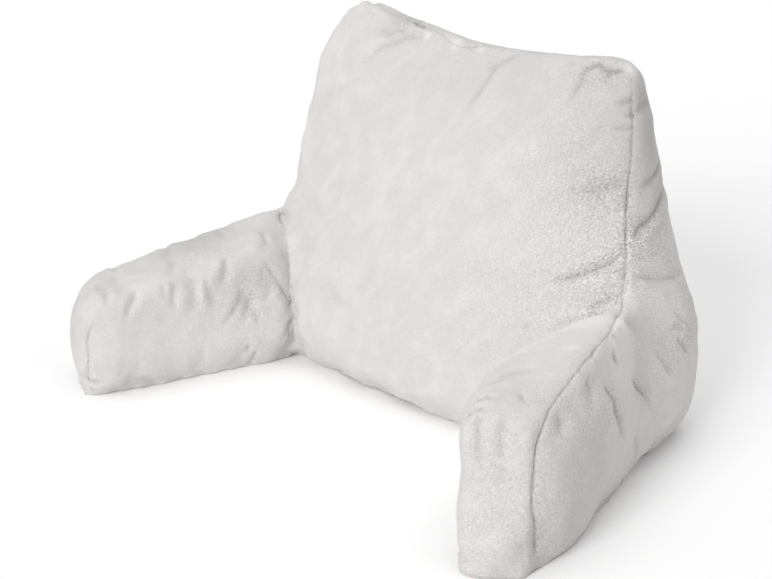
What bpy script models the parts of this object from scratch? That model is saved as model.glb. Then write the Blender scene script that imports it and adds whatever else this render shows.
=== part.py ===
"""A reading pillow with arms: a stuffed wedge-shaped back and two stuffed arms, covered in plush.

X runs across the pillow, the reader sits on the -Y side and Z is up. The pillow stands on z = 0, and the
origin is under the middle of the box that holds it. Each stuffed body starts as a coarse cage of named
sections, a little larger than the body. Subdivision rounds the cage, its seams are creased, and what
would lie below the floor is pressed flat on it.
"""

import math
from collections import namedtuple

import bmesh
import bpy
from mathutils import Matrix, Vector

# Driving dimensions, in metres.
TOP_DIP = 0.031  # how far the middle of the top sags below its two corners
TOP_SLOPE = 0.020  # how far the top drops from its front seam to its rear one
FRONT_CROWN = 0.050  # how far the stuffing rounds out the back's front
BACK_CROWN = 0.030
SIDE_BULGE = 0.012
PIECE_GAP = 0.0006  # between the back's coarse facets and what is cut to fit them
SINK = 0.014  # how much of a cage lies below the floor
SEAM_CREASE = 0.5
SUBDIVISIONS = 2

# The back, level by level from the floor up. left and right are its half widths at the front seams,
# height_left and height_right the heights there, front and rear the y of the seams along each side
# panel, and crown how much of FRONT_CROWN and BACK_CROWN the level has.
Level = namedtuple("Level", "left right height_left height_right front rear crown")
BACK_LEVELS = (
    Level(0.268, 0.312, -SINK, -SINK, 0.012, 0.148, 0.9),
    Level(0.298, 0.340, 0.055, 0.055, 0.002, 0.174, 1.0),
    Level(0.296, 0.319, 0.140, 0.140, 0.019, 0.167, 1.0),
    Level(0.286, 0.286, 0.230, 0.230, 0.045, 0.161, 1.0),
    Level(0.276, 0.265, 0.320, 0.320, 0.066, 0.151, 0.9),
    Level(0.264, 0.252, 0.415, 0.404, 0.090, 0.137, 0.6),
    Level(0.240, 0.236, 0.490, 0.475, 0.106, 0.138, 0.2),
)
BACK_NARROWING = 0.016  # how much narrower the back's half width is at the rear than at the front
BACK_ACROSS = (-1.0, -0.55, 0.0, 0.55, 1.0)
BACK_DEPTHS = (0.0, 0.5, 1.0)

# An arm runs forward from the back's front corner, turned outwards by ARM_SPLAY. Station by station,
# inner and outer are the distances of its two sides from a line through ARM_ROOT, and inner_rise and
# outer_rise are the heights of its top over them.
ARM_SPLAY = math.radians(18.0)
ARM_ROOT = Vector((0.250, 0.0, 0.0))
Station = namedtuple("Station", "along inner outer inner_rise outer_rise")
RIGHT_ARM = (
    Station(-0.120, 0.000, 0.050, 0.140, 0.150),
    Station(-0.030, -0.010, 0.063, 0.176, 0.206),
    Station(0.070, -0.018, 0.078, 0.184, 0.211),
    Station(0.160, -0.021, 0.080, 0.202, 0.212),
    Station(0.240, -0.023, 0.073, 0.210, 0.192),
    Station(0.290, -0.018, 0.065, 0.208, 0.166),
    Station(0.316, -0.007, 0.054, 0.193, 0.144),
)
LEFT_ARM = (
    Station(-0.120, 0.000, 0.050, 0.140, 0.150),
    Station(-0.030, -0.010, 0.060, 0.186, 0.195),
    Station(0.070, -0.018, 0.075, 0.177, 0.178),
    Station(0.160, -0.021, 0.076, 0.163, 0.156),
    Station(0.220, -0.020, 0.072, 0.152, 0.141),
    Station(0.264, -0.016, 0.066, 0.142, 0.124),
    Station(0.288, -0.006, 0.056, 0.128, 0.104),
)
END_SLANT = 0.020  # how much further forward the inner corner of an arm's end reaches
ARM_BULGE = 0.012  # how far an arm's sides round out midway up
ARM_ACROSS = (0.0, 0.5, 1.0)
ARM_HEIGHTS = (0.0, 0.35, 0.7, 1.0)


def clear_scene():
    """Removes whatever the scene holds."""
    for found in list(bpy.data.objects):
        bpy.data.objects.remove(found)


def plush(name):
    """The warm off-white short-pile plush that covers a body."""
    material = bpy.data.materials.new(name)
    material.use_nodes = True
    shader = material.node_tree.nodes["Principled BSDF"]
    shader.inputs["Base Color"].default_value = (0.74, 0.72, 0.71, 1.0)
    shader.inputs["Roughness"].default_value = 0.95
    shader.inputs["Metallic"].default_value = 0.0
    return material


def dome(share):
    """A panel's rounding: 0 at its two seams, where share is 0 and 1, and 1 midway."""
    return 1.0 - (2.0 * share - 1.0) ** 2


def box_cage(counts, place):
    """The quads of a box of counts cells each way. place turns a cell corner (i, j, k) into a point."""
    cage = bmesh.new()
    corners = {}

    def corner(index):
        if index not in corners:
            corners[index] = cage.verts.new(place(*index))
        return corners[index]

    for axis in range(3):
        first, second = (axis + 1) % 3, (axis + 2) % 3
        for side in (0, counts[axis]):
            for a in range(counts[first]):
                for b in range(counts[second]):
                    ring = []
                    for step_a, step_b in ((0, 0), (1, 0), (1, 1), (0, 1)):
                        index = [0, 0, 0]
                        index[axis] = side
                        index[first] = a + step_a
                        index[second] = b + step_b
                        ring.append(corner(tuple(index)))
                    cage.faces.new(ring)
    bmesh.ops.recalc_face_normals(cage, faces=list(cage.faces))
    return cage, corners


def sew(cage, corners, path):
    """Creases the cage's edges along path, as a seam does."""
    layer = cage.edges.layers.float.get("crease_edge") or cage.edges.layers.float.new("crease_edge")
    for start, end in zip(path, path[1:]):
        edge = cage.edges.get((corners[start], corners[end]))
        edge[layer] = SEAM_CREASE


def stuffed(name, cage):
    """An object of the subdivided cage, flat where it stands on the floor."""
    mesh = bpy.data.meshes.new(name + "_cage")
    cage.to_mesh(mesh)
    cage.free()
    body = bpy.data.objects.new(name, mesh)
    bpy.context.scene.collection.objects.link(body)
    subdivision = body.modifiers.new("rounding", "SUBSURF")
    subdivision.levels = SUBDIVISIONS
    subdivision.render_levels = SUBDIVISIONS
    bpy.context.view_layer.update()
    graph = bpy.context.evaluated_depsgraph_get()
    made = bpy.data.meshes.new_from_object(body.evaluated_get(graph))
    made.name = name
    body.modifiers.clear()
    body.data = made
    for vertex in made.vertices:
        vertex.co.z = max(vertex.co.z, 0.0)
    made.shade_smooth()
    made.update()
    return body


def make_back():
    """The wedge-shaped back, with seams along its side panels and round its top."""
    top = len(BACK_LEVELS) - 1

    def place(i, j, k):
        level = BACK_LEVELS[k]
        across, depth = BACK_ACROSS[i], BACK_DEPTHS[j]
        share = (across + 1.0) / 2.0
        half_width = level.left + (level.right - level.left) * share - BACK_NARROWING * depth
        x = across * half_width
        if abs(across) == 1.0:
            x += across * SIDE_BULGE * dome(depth)
        front = level.front - FRONT_CROWN * level.crown * dome(share)
        rear = level.rear + BACK_CROWN * level.crown * dome(share)
        z = level.height_left + (level.height_right - level.height_left) * share
        if k == top:
            z -= TOP_DIP * dome(share) + TOP_SLOPE * depth
        return Vector((x, front + (rear - front) * depth, z))

    counts = (len(BACK_ACROSS) - 1, len(BACK_DEPTHS) - 1, top)
    cage, corners = box_cage(counts, place)
    for j in (0, counts[1]):
        for i in (0, counts[0]):
            sew(cage, corners, [(i, j, k) for k in range(top + 1)])
        sew(cage, corners, [(i, j, top) for i in range(counts[0] + 1)])
    return stuffed("backrest", cage)


def make_arm(name, stations, side):
    """An arm, on the +X side for side 1 and the -X side for side -1, with one seam along its outer edge."""
    forward = Vector((math.sin(ARM_SPLAY), -math.cos(ARM_SPLAY), 0.0))
    outward = Vector((math.cos(ARM_SPLAY), math.sin(ARM_SPLAY), 0.0))
    end = len(stations) - 1

    def place(i, j, k):
        station = stations[j]
        across, up = ARM_ACROSS[i], ARM_HEIGHTS[k]
        inner = station.inner - ARM_BULGE * dome(up)
        outer = station.outer + ARM_BULGE * dome(up)
        rise = station.inner_rise + (station.outer_rise - station.inner_rise) * across
        along = station.along
        if j == end:
            along += END_SLANT * (0.5 - across)
        point = ARM_ROOT + forward * along + outward * (inner + (outer - inner) * across)
        return Vector((side * point.x, point.y, -SINK + (rise + SINK) * up))

    counts = (len(ARM_ACROSS) - 1, end, len(ARM_HEIGHTS) - 1)
    cage, corners = box_cage(counts, place)
    outer, _, top = counts
    sew(cage, corners, [(outer, j, top) for j in range(end + 1)])
    sew(cage, corners, [(outer, end, k) for k in range(top + 1)])
    return stuffed(name, cage)


def stand_on_origin(bodies):
    """Moves the bodies so that the origin is under the middle of the box that holds them all."""
    points = [vertex.co for body in bodies for vertex in body.data.vertices]
    middle_x = (min(p.x for p in points) + max(p.x for p in points)) / 2.0
    middle_y = (min(p.y for p in points) + max(p.y for p in points)) / 2.0
    shift = Matrix.Translation((-middle_x, -middle_y, 0.0))
    for body in bodies:
        body.data.transform(shift)


def cut_by(body, neighbour):
    """Cuts the body back to just clear of its neighbour."""
    cutter = bpy.data.objects.new(body.name + "_cutter", neighbour.data.copy())
    bpy.context.scene.collection.objects.link(cutter)
    cutter.hide_render = True
    cutter.display_type = "WIRE"
    normals = [vertex.normal.copy() for vertex in cutter.data.vertices]
    for vertex, normal in zip(cutter.data.vertices, normals):
        vertex.co += normal * PIECE_GAP
    boolean = body.modifiers.new("root", "BOOLEAN")
    boolean.operation = "DIFFERENCE"
    boolean.solver = "EXACT"
    boolean.object = cutter


def main():
    """Builds the pillow."""
    clear_scene()
    back = make_back()
    arms = [make_arm("arm_left", LEFT_ARM, -1), make_arm("arm_right", RIGHT_ARM, 1)]
    bodies = [back] + arms
    stand_on_origin(bodies)
    for body in bodies:
        body.data.materials.clear()
        body.data.materials.append(plush(body.name + "_plush"))
    for arm in arms:
        cut_by(arm, back)


main()
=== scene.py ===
"""A reading pillow with arms: its stuffed plush cover with seams and folds, in a plain pale studio.

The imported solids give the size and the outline. The cover is built on them as one closed mesh, because the
cloth of the backrest's sides runs on without a break along the arms: the solids are joined and remeshed,
blown up a little by Blender's cloth simulation, subdivided, and then sewn, creased and given its pile.
The axes are the frame's own: the lap opens towards -Y, and Z is up. Lengths are in metres, but in millimetres
in the tables of seams, folds and patches and wherever a name ends in _mm.
"""

import logging
import math
from collections.abc import Iterable, Sequence
from dataclasses import dataclass, field
from enum import Enum

import bmesh
import bpy
import numpy as np
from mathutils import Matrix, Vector, noise
from mathutils.bvhtree import BVHTree
from mathutils.kdtree import KDTree


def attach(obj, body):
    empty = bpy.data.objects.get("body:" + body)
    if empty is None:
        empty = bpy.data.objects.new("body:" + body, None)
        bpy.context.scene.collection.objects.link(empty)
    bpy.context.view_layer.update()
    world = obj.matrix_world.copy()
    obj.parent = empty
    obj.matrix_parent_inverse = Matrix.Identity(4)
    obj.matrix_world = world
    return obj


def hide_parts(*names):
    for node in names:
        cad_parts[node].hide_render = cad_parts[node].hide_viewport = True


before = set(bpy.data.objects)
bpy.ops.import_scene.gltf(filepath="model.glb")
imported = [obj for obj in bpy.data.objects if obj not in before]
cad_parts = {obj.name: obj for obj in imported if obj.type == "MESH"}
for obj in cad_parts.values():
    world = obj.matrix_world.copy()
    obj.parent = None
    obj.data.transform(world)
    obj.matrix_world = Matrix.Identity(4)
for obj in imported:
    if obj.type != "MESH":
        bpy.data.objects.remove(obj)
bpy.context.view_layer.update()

log = logging.getLogger("reading_pillow")

MM = 0.001
MM_TO_THE_METRE = 1000
# Points closer together than this are one point, and a point lower than this lies on the ground.
HAIR = 0.01 * MM
# How far apart the points of a line on the cover are.
LINE_STEP = 1.5 * MM
# The cover faces the way a line does up to 51 degrees off it, and less and less from there to 90 degrees.
FACING_SLOPE = 1.6

# The arms stand apart by this much on each side of straight ahead, and grow from these two points.
ARM_SPLAY_DEG = 18.0
ARM_ROOT_X = 0.25
ARM_ROOT_Y = 0.055

Colour = tuple[float, float, float, float]
Pair = tuple[float, float]
Triple = tuple[float, float, float]


def linear_colour(code: str) -> Colour:
    """Turn an sRGB hex colour into the linear one that Blender's sockets take.

    Args:
        code: The colour as "#RRGGBB".

    Returns:
        Linear red, green and blue, and an alpha of 1.
    """
    shares = [int(code[place : place + 2], 16) / 255 for place in (1, 3, 5)]
    red, green, blue = (s / 12.92 if s <= 0.04045 else ((s + 0.055) / 1.055) ** 2.4 for s in shares)
    return (red, green, blue, 1.0)


def blank_material(name: str) -> bpy.types.Material:
    """Add a material whose node tree is empty.

    Args:
        name: The material's name.

    Returns:
        The new material.
    """
    made = bpy.data.materials.new(name)
    made.use_nodes = True
    made.node_tree.nodes.clear()
    return made


def add_node(tree: bpy.types.NodeTree, kind: str, settings: dict | None = None, **inputs) -> bpy.types.Node:
    """Add one node, with its settings, its socket values and its links.

    Args:
        tree: The node tree that it goes into.
        kind: The node's type, such as "ShaderNodeMath".
        settings: Properties of the node itself.
        inputs: Socket values or output sockets to link, by socket name with "_" for a space,
            or as "i0", "i1" and so on by place.

    Returns:
        The new node.
    """
    made = tree.nodes.new(kind)
    for name, value in (settings or {}).items():
        setattr(made, name, value)
    for name, value in inputs.items():
        by_place = name[0] == "i" and name[1:].isdigit()
        socket = made.inputs[int(name[1:])] if by_place else made.inputs[name.replace("_", " ")]
        if isinstance(value, bpy.types.NodeSocket):
            tree.links.new(value, socket)
        else:
            socket.default_value = value
    return made


def smooth_step(share: np.ndarray) -> np.ndarray:
    """Ease from 0 to 1 as the share does."""
    kept = np.clip(share, 0.0, 1.0)
    return kept * kept * (3.0 - 2.0 * kept)


def bell(away: np.ndarray, reach: float | np.ndarray, power: int = 2) -> np.ndarray:
    """Fall from 1 to 0 with the distance: as a bell, or with a flatter middle where the power is higher."""
    return np.exp(-((away / reach) ** power))


def smooth_curve(points: Sequence[Vector], step: float) -> list[Vector]:
    """Run a Catmull-Rom curve through a few points.

    Args:
        points: The points that the curve passes through.
        step: The spacing of the points that come back.

    Returns:
        Points along the curve, about a step apart.
    """
    ends = [2 * points[0] - points[1], *points, 2 * points[-1] - points[-2]]
    made = []
    for a, b, c, d in zip(ends, ends[1:], ends[2:], ends[3:]):
        count = max(1, round((c - b).length / step))
        for index in range(count):
            t = index / count
            bent = 2 * b + (c - a) * t + (2 * a - 5 * b + 4 * c - d) * t**2
            made.append(0.5 * (bent + (3 * b - 3 * c + d - a) * t**3))
    made.append(points[-1].copy())
    return made


class Panel(Enum):
    """A face of the cover on which folds are laid out, seen square on.

    Each value is the plane's origin, the heading of its "across" axis and the heading in which it is looked
    at, both in degrees from +X, and how far off the look starts. Up is +Z.
    """

    BACK_FRONT = ((0.0, 0.0), 0, 90, 0.8)
    BACK_REAR = ((0.0, 0.0), 0, -90, 0.8)
    RIGHT_SIDE = ((0.0, 0.0), 90, 180, 0.8)
    LEFT_SIDE = ((0.0, 0.0), 90, 0, 0.8)
    RIGHT_ARM_OUTER = ((ARM_ROOT_X, ARM_ROOT_Y), ARM_SPLAY_DEG - 90, ARM_SPLAY_DEG + 180, 0.3)
    RIGHT_ARM_INNER = ((ARM_ROOT_X, ARM_ROOT_Y), ARM_SPLAY_DEG - 90, ARM_SPLAY_DEG, 0.3)
    RIGHT_ARM_END = ((ARM_ROOT_X, ARM_ROOT_Y), ARM_SPLAY_DEG, ARM_SPLAY_DEG + 90, 0.6)
    LEFT_ARM_OUTER = ((-ARM_ROOT_X, ARM_ROOT_Y), -90 - ARM_SPLAY_DEG, -ARM_SPLAY_DEG, 0.3)
    LEFT_ARM_INNER = ((-ARM_ROOT_X, ARM_ROOT_Y), -90 - ARM_SPLAY_DEG, 180 - ARM_SPLAY_DEG, 0.3)
    LEFT_ARM_END = ((-ARM_ROOT_X, ARM_ROOT_Y), 180 - ARM_SPLAY_DEG, 90 - ARM_SPLAY_DEG, 0.6)
    TOP = ((0.0, 0.0), 0, None, 0.8)

    def ray(self, across: float, up: float) -> tuple[Vector, Vector]:
        """Give the line of sight to a place on the panel.

        Args:
            across: Metres along the panel from its origin, along X on the top.
            up: Metres above the floor, or along Y on the top.

        Returns:
            Where the line starts, and its direction.
        """
        (x, y), heading, looking, off = self.value
        if looking is None:
            return Vector((across, up, off)), Vector((0.0, 0.0, -1.0))
        along = Vector((math.cos(math.radians(heading)), math.sin(math.radians(heading)), 0.0))
        look = Vector((math.cos(math.radians(looking)), math.sin(math.radians(looking)), 0.0))
        return Vector((x, y, up)) + along * across - look * off, look


@dataclass(frozen=True)
class Seam:
    """A plain sewn seam: two panels joined face to face and turned, with no piping.

    The points are on or near the cover, in millimetres in the frame's axes. The stitching pulls a groove
    into the stuffing, the panels are rounded off towards it, and the cloth puckers at right angles to it
    where one panel was eased onto the other. Lean moves the roll beside the groove to one side: 1 is all on
    the line's right. The groove rises from nothing over fade_in_mm at the first point, and dies away over
    fade_out_mm at the last one. Finest says whether it gets the finest faces.
    """

    name: str
    points: tuple[Triple, ...]
    depth_mm: float = 3.0
    width_mm: float = 2.6
    rounding_mm: float = 0.0
    pucker_mm: float = 0.9
    # How much painted shade lies along the groove.
    shade: float = 0.6
    lean: float = 0.0
    fade_in_mm: float = 1.0
    fade_out_mm: float = 1.0
    finest: bool = True

    def line(self, tree: BVHTree) -> "SurfaceLine":
        """Lay the seam on the cover whose faces are in the tree."""
        points = [Vector([value / MM_TO_THE_METRE for value in point]) for point in self.points]
        return SurfaceLine.through(points, tree)


@dataclass(frozen=True)
class Stitching:
    """What all the seams share: how the cloth, the stuffing and the pile lie beside them.

    A seam is felt as far as reach_mm. Its groove is a narrow bell on a wide one, and a low roll stands off
    it on both sides, all in the seam's own widths and depths.
    """

    reach_mm: float = 45.0
    drawn_in_mm: float = 0.8
    past_end_mm: float = 4.0
    uneven: float = 0.3
    uneven_mm: float = 30.0
    narrow_share: float = 0.65
    wide_share: float = 0.35
    wide: float = 3.0
    roll_high: float = 0.22
    roll_off: float = 5.0
    roll_wide: float = 2.7
    rounding_mm: float = 20.0
    # Gathers stand this close together on the left and on the right, and rise from the stitching over
    # gather_rise_mm. Gather_valley rounds off the valleys between them. They are higher in some stretches
    # than in others: as a rule, at least and at most.
    gathers_mm: Pair = (11.0, 13.0)
    gather_high: float = 1.9
    gather_valley: float = 0.02
    gather_rise_mm: float = 3.0
    gather_reach_mm: float = 20.0
    stretch_mm: float = 70.0
    stretch_heights: Triple = (0.55, 0.1, 1.3)
    # Painted shade runs along each groove in short dark marks, and the pile beside it is ruffled.
    shade_dash_mm: float = 5.0
    shade_dash_uneven: float = 0.25
    dark_mm: float = 1.5
    ruffled: float = 0.5
    ruffled_mm: float = 12.0


@dataclass(frozen=True)
class Fold:
    """A crease that the cloth keeps: a soft trough with low ridges beside it.

    The points are millimetres across and up on the panel. Lean moves the ridge to one side, and start and
    end are the shares of the length in which the crease deepens and dies away.
    """

    panel: Panel
    points: tuple[Pair, ...]
    depth_mm: float
    width_mm: float
    lean: float = 0.0
    start: float = 0.3
    end: float = 0.4

    def line(self, tree: BVHTree) -> "SurfaceLine":
        """Lay the fold on the cover whose faces are in the tree."""
        points = [(across / MM_TO_THE_METRE, up / MM_TO_THE_METRE) for across, up in self.points]
        return SurfaceLine.on_panel(self.panel, points, tree)


def folds_on(panel: Panel, *rows: tuple) -> tuple[Fold, ...]:
    """Make a fold of each row: its points, depth_mm, width_mm and, where they differ, lean, start and end."""
    return tuple(Fold(panel, *row) for row in rows)


@dataclass(frozen=True)
class Creasing:
    """What all the folds share, in widths and depths of the fold itself unless it says mm."""

    reach: float = 4.5
    uneven: float = 0.25
    uneven_mm: float = 18.0
    wander: float = 0.25
    wander_mm: float = 16.0
    ridge_high: float = 0.38
    ridge_off: float = 1.9
    ridge_wide: float = 0.95
    # A crease deeper than this is crisp too: part of its trough is narrow, and its shade narrows with it.
    crisp_from_mm: float = 1.5
    crisp_over_mm: float = 1.5
    most_crisp: float = 0.45
    crisp_wide: float = 0.4
    crisp_shade: float = 2.0
    # A crease gets this much painted shade for each millimetre of its depth.
    shade_per_mm: float = 0.07
    most_shade: float = 0.55
    # The pile in a crease is pushed this way and that, so it is ruffled by this much for each millimetre.
    ruffled_per_mm: float = 0.20
    ruffled_wide: float = 2.2


class Pattern(float, Enum):
    """What sets the uneven patterns of one seam or fold apart from each other."""

    FOLD_WIDTH = 0.1
    SEAM_DEPTH = 0.3
    FOLD_WANDER = 0.6
    STITCHES = 0.7
    LEFT_GATHERS = 3.7
    RIGHT_GATHERS = 5.9
    STRETCHES = 9.1


@dataclass(frozen=True)
class Patch:
    """A round patch of the cover, and how much it gets of what its table is about."""

    place_mm: Triple
    radius_mm: float
    amount: float


def patches(*rows: tuple) -> tuple[Patch, ...]:
    """Make a patch of each row."""
    return tuple(Patch(*row) for row in rows)


@dataclass(frozen=True)
class Splitting:
    """A choice of faces to split once more, so that a groove can be narrow.

    They are those within beside_mm of a seam or a fold, or within beside_fold widths of a fold. Folds
    shallower than least_mm are passed over, and so are seams that don't get the finest faces if finest is
    set.
    """

    beside_mm: float
    beside_fold: float
    least_mm: float
    finest: bool


@dataclass(frozen=True)
class BrushedPlush:
    """Short-pile polyester plush: knitted, brushed up and sheared.

    The pile scatters light, so the cloth has no highlight, a pale haze where it turns away from the eye, and
    lighter or darker patches where the pile has been stroked one way or the other. Its colours also hold
    painted
    light and shade: in the creases, along the seams, down among the tufts and in broad patches.
    """

    name: str = "polyester_plush_brushed"
    pile: str = "#C8C5C4"
    stroked: str = "#D0CDCC"
    # Pile lying with the nap and against it; these two colours also paint light and shade onto the pile.
    with_nap_and_painted_light: str = "#EAE7E6"
    against_nap_and_painted_shade: str = "#95928E"
    # Painted shade down among the tufts, and painted light on their tips.
    tuft_root_painted_shade: str = "#9B9693"
    tuft_tip_painted_light: str = "#F0EEEC"
    # Painted shade, laid into the seams and the creases.
    seam_shade: str = "#857F7B"
    roughness: float = 0.95
    specular: float = 0.15
    sheen: float = 0.5
    sheen_roughness: float = 0.35
    # A pile fibre is about 0.03 mm thick, too fine to show: the finest grain drawn is this many millimetres.
    grain_mm: float = 1.0
    clump_mm: float = 1.65
    stroke_mm: float = 24.0
    grain_depth_mm: float = 1.0
    clump_depth_mm: float = 1.6
    noise_roughness: float = 0.6
    noise_distortion: float = 0.4
    # The parts of the noise over which a stroke and a tuft go from their first colour to their second.
    stroke_band: Pair = (0.42, 0.72)
    tuft_band: Pair = (0.36, 0.64)
    # How much of the tufts' painted shade and light shows, and of their depth, in smooth pile and in ruffled
    # pile.
    tufts_shown: Pair = (0.08, 0.80)
    depth_shown: Pair = (0.2, 1.0)
    nap_and_painted_light_share: float = 0.55
    # Brushing draws the pile out along this heading: up, back and to the right, by this many times.
    brushed_turn_deg: Triple = (0.0, -35.0, 45.0)
    drawn_out: float = 2.1

    def material(self) -> bpy.types.Material:
        """Build the plush from nodes that read the cover's "ruffle", "tone" and "shade".

        Returns:
            The material.
        """
        made = blank_material(self.name)
        tree = made.node_tree
        place = add_node(tree, "ShaderNodeTexCoord").outputs["Object"]
        ruffle, tone, shade = (
            add_node(tree, "ShaderNodeAttribute", {"attribute_name": name}).outputs["Fac"]
            for name in ("ruffle", "tone", "shade")
        )
        lain = add_node(
            tree, "ShaderNodeMapping", {"vector_type": "TEXTURE"}, Vector=place,
            Rotation=tuple(math.radians(angle) for angle in self.brushed_turn_deg),
            Scale=(self.drawn_out, 1.0, 1.0),
        ).outputs["Vector"]
        strokes, clumps, grain = (
            add_node(
                tree, "ShaderNodeTexNoise", Vector=lain, Scale=1.0 / (size_mm * MM), Detail=detail,
                Roughness=self.noise_roughness, Distortion=self.noise_distortion,
            ).outputs["Fac"]
            for size_mm, detail in ((self.stroke_mm, 3.0), (self.clump_mm, 3.0), (self.grain_mm, 2.0))
        )
        whole = (0.0, 1.0)
        stroked, tufted, tufts_seen, depth_seen = (
            add_node(
                tree, "ShaderNodeMapRange", Value=value,
                From_Min=band[0], From_Max=band[1], To_Min=shown[0], To_Max=shown[1],
            ).outputs["Result"]
            for value, band, shown in (
                (strokes, self.stroke_band, whole),
                (clumps, self.tuft_band, whole),
                (ruffle, whole, self.tufts_shown),
                (ruffle, whole, self.depth_shown),
            )
        )
        # The way the pile lies, or stands, changes how light it looks, and the same values also paint light
        # and shade.
        away, towards = (
            add_node(
                tree, "ShaderNodeMath", {"operation": "MULTIPLY", "use_clamp": True}, i0=tone, i1=share
            ).outputs[0]
            for share in (-self.nap_and_painted_light_share, self.nap_and_painted_light_share)
        )
        smooth_pile, tufts_painted_shade_and_light = (
            add_node(
                tree, "ShaderNodeMix", {"data_type": "RGBA"},
                i0=share, i6=linear_colour(first), i7=linear_colour(second),
            ).outputs[2]
            for share, first, second in (
                (stroked, self.pile, self.stroked),
                (tufted, self.tuft_root_painted_shade, self.tuft_tip_painted_light),
            )
        )
        # Over the pile go, in turn, the tufts' painted shade and light, the nap with its painted light and
        # shade, and the painted shade of the seams and the creases.
        colour = smooth_pile
        for share, over in (
            (tufts_seen, tufts_painted_shade_and_light),
            (away, linear_colour(self.against_nap_and_painted_shade)),
            (towards, linear_colour(self.with_nap_and_painted_light)),
            (shade, linear_colour(self.seam_shade)),
        ):
            mixed = add_node(tree, "ShaderNodeMix", {"data_type": "RGBA"}, i0=share, i6=colour, i7=over)
            colour = mixed.outputs[2]
        clump_bump = add_node(
            tree, "ShaderNodeBump", Strength=depth_seen, Distance=self.clump_depth_mm * MM, Height=clumps
        )
        grain_bump = add_node(
            tree, "ShaderNodeBump", Strength=depth_seen, Distance=self.grain_depth_mm * MM,
            Height=grain, Normal=clump_bump.outputs["Normal"],
        )
        shader = add_node(
            tree, "ShaderNodeBsdfPrincipled", Base_Color=colour, Normal=grain_bump.outputs["Normal"],
            Roughness=self.roughness, Specular_IOR_Level=self.specular,
            Sheen_Weight=self.sheen, Sheen_Roughness=self.sheen_roughness,
        )
        add_node(tree, "ShaderNodeOutputMaterial", Surface=shader.outputs["BSDF"])
        return made


@dataclass(frozen=True)
class MattStudioPaper:
    """Seamless background paper: uncoated and matt, with nothing to see but a soft shadow."""

    name: str = "studio_paper_uncoated"
    paper: str = "#FCFCFC"
    roughness: float = 0.9
    specular: float = 0.1
    # Paper fibres are about 0.02 mm thick, too fine to show: its flecks are drawn about a millimetre apart.
    flecks_per_mm: float = 0.9
    fleck_depth_mm: float = 0.1
    fleck_strength: float = 0.02

    def material(self) -> bpy.types.Material:
        """Build the paper from nodes.

        Returns:
            The material.
        """
        made = blank_material(self.name)
        tree = made.node_tree
        place = add_node(tree, "ShaderNodeTexCoord").outputs["Object"]
        flecks = add_node(
            tree, "ShaderNodeTexNoise", Vector=place, Scale=self.flecks_per_mm / MM, Detail=2.0
        ).outputs["Fac"]
        bump = add_node(
            tree, "ShaderNodeBump",
            Strength=self.fleck_strength, Distance=self.fleck_depth_mm * MM, Height=flecks,
        ).outputs["Normal"]
        shader = add_node(
            tree, "ShaderNodeBsdfPrincipled", Base_Color=linear_colour(self.paper), Normal=bump,
            Roughness=self.roughness, Specular_IOR_Level=self.specular,
        )
        add_node(tree, "ShaderNodeOutputMaterial", Surface=shader.outputs["BSDF"])
        return made


@dataclass
class CoverMesh:
    """The cover's points as arrays, for the steps that move them all."""

    mesh: bpy.types.Mesh
    places: np.ndarray = field(init=False)
    normals: np.ndarray = field(init=False)

    def __post_init__(self) -> None:
        """Read the mesh."""
        self.read()

    def read(self) -> None:
        """Read the points and their normals from the mesh."""
        count = len(self.mesh.vertices)
        self.places = np.empty(count * 3)
        self.mesh.vertices.foreach_get("co", self.places)
        self.places = self.places.reshape(-1, 3)
        self.normals = np.empty(count * 3)
        self.mesh.vertices.foreach_get("normal", self.normals)
        self.normals = self.normals.reshape(-1, 3)

    def write(self) -> None:
        """Write the points back and work the normals out again."""
        self.mesh.vertices.foreach_set("co", self.places.ravel())
        self.mesh.update()
        self.read()

    def push(self, amounts: np.ndarray) -> None:
        """Move each point along its normal by so many metres, outwards where positive."""
        self.places += self.normals * amounts[:, None]
        self.write()

    def evened(self, values: np.ndarray, rounds: int) -> np.ndarray:
        """Average a value over each point's neighbours, again and again.

        Args:
            values: One number or one row of numbers for each point.
            rounds: How many times to average.

        Returns:
            The evened values.
        """
        ends = np.empty(len(self.mesh.edges) * 2, np.int32)
        self.mesh.edges.foreach_get("vertices", ends)
        first, second = ends.reshape(-1, 2).T
        count = len(self.places)
        neighbours = np.bincount(first, minlength=count) + np.bincount(second, minlength=count)
        made = np.array(values, float).reshape(count, -1)
        for _ in range(rounds):
            for column in made.T:
                total = np.bincount(first, column[second], count)
                total += np.bincount(second, column[first], count)
                column[:] = 0.5 * column + 0.5 * total / neighbours
        return made.reshape(np.shape(values))

    def share_of(self, patch: Patch, power: int = 2) -> np.ndarray:
        """Give each point's share of a patch, from 1 in its middle to 0 far off."""
        gaps = np.linalg.norm(self.places - np.array(patch.place_mm) / MM_TO_THE_METRE, axis=1)
        return bell(gaps, patch.radius_mm * MM, power)

    def tree(self) -> BVHTree:
        """Give a tree of the mesh's faces, for looking up places on it."""
        faces = [tuple(face.vertices) for face in self.mesh.polygons]
        return BVHTree.FromPolygons([tuple(place) for place in self.places], faces)

    def kept(self, name: str) -> np.ndarray:
        """Read back a value that was stored for each point.

        Args:
            name: The attribute's name.

        Returns:
            One number for each point.
        """
        values = np.empty(len(self.places), np.float32)
        self.mesh.attributes[name].data.foreach_get("value", values)
        return values.astype(float)

    def keep(self, name: str, values: np.ndarray) -> None:
        """Store a number for each point under that name, for the material to read."""
        kept = self.mesh.attributes.get(name) or self.mesh.attributes.new(name, "FLOAT", "POINT")
        kept.data.foreach_set("value", values.astype(np.float32))


@dataclass
class Nearby:
    """The cover's points near a line: which they are, and where they lie beside it.

    Along and aside are metres, and aside is negative on the line's left. Facing is 1 where the cover looks
    the way it does on the line, and 0 where it looks away, as on the far side of an arm.
    """

    points: np.ndarray
    samples: np.ndarray
    along: np.ndarray
    aside: np.ndarray
    offsets: np.ndarray
    facing: np.ndarray
    past: np.ndarray


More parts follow.
